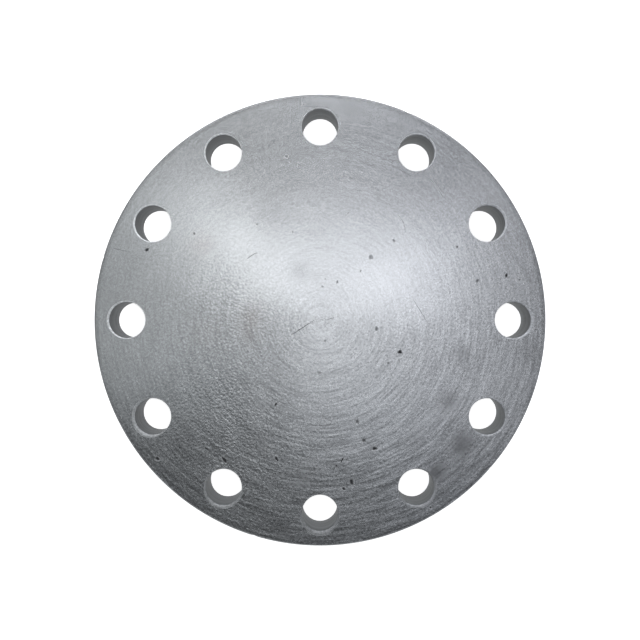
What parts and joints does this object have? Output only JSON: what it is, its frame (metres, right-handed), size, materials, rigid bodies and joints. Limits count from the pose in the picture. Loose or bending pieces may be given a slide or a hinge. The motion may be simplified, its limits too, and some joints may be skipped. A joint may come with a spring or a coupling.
{
  "type": "blind flange",
  "caption": "Flat round steel blind flange with a ring of through bolt holes near its rim, for closing the end of a pipe, valve or nozzle.",
  "frame": {"origin": "centre of the lower face, on the flange's axis", "axes": "+Z along the flange's axis, out of the turned sealing face; +X and +Y each pass through the centre of a bolt hole"},
  "size_m": [0.375, 0.375, 0.036],
  "materials": {
    "machined_steel": "bare turned steel: fine concentric tool marks, small pits, faint stains, slightly broken edges"
  },
  "bodies": {
    "root": {"flange_disc": "machined_steel"}
  },
  "joints": []
}
